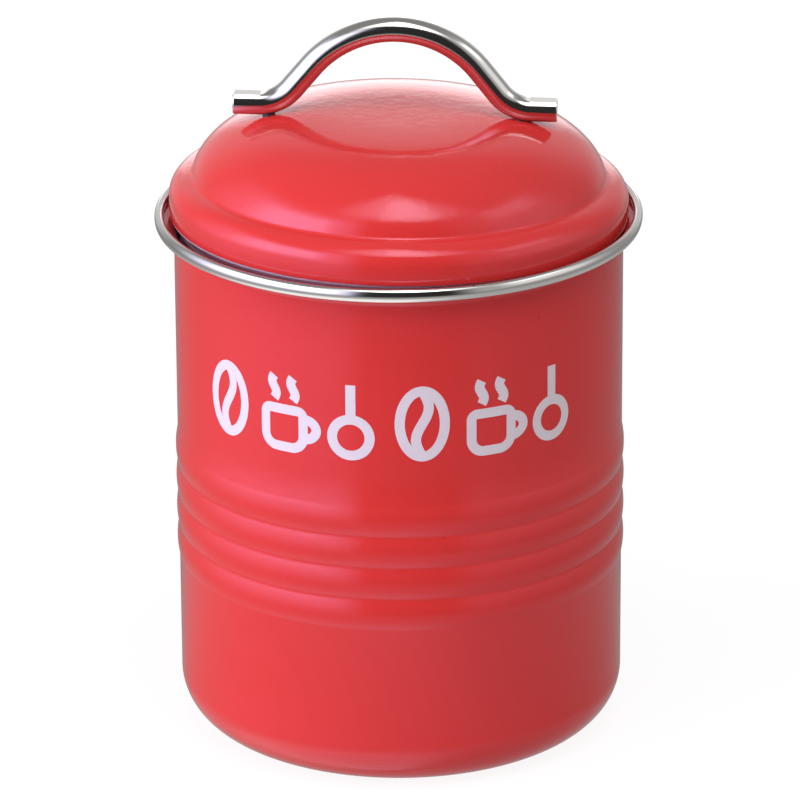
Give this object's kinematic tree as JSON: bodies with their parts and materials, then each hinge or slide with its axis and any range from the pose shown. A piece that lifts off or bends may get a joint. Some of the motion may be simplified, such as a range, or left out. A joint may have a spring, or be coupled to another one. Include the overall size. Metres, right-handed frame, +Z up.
{
  "type": "kitchen canister",
  "caption": "Round coated-steel kitchen canister with rolled ribs, a bright rim ring and a domed push-in lid that carries a silicone seal and an arched bar handle.",
  "frame": {"origin": "on the can's axis, in the plane it stands on", "axes": "+Z up along the can's axis, -Y towards the decorated front, +X to the right when seen from the front; the handle runs along X"},
  "size_m": [0.115, 0.115, 0.1746],
  "materials": {
    "red_coat": "glossy red powder coat on steel sheet",
    "polished_steel": "mirror-polished stainless steel",
    "plain_steel": "satin stainless steel",
    "silicone": "matt grey-mauve silicone"
  },
  "bodies": {
    "can": {"can_body": "red_coat", "rim_ring": "polished_steel"},
    "lid": {"lid_shell": "red_coat", "lid_inner_pan": "plain_steel", "lid_gasket": "silicone", "lid_handle": "polished_steel", "handle_screw_left": "plain_steel", "handle_screw_right": "plain_steel", "screw_washer_left": "plain_steel", "screw_washer_right": "plain_steel"}
  },
  "joints": [
    {"name": "lid_lift", "type": "slide", "parent": "can", "child": "lid", "axis": [0, 0, 1], "range_m": [0, 0.045]}
  ]
}
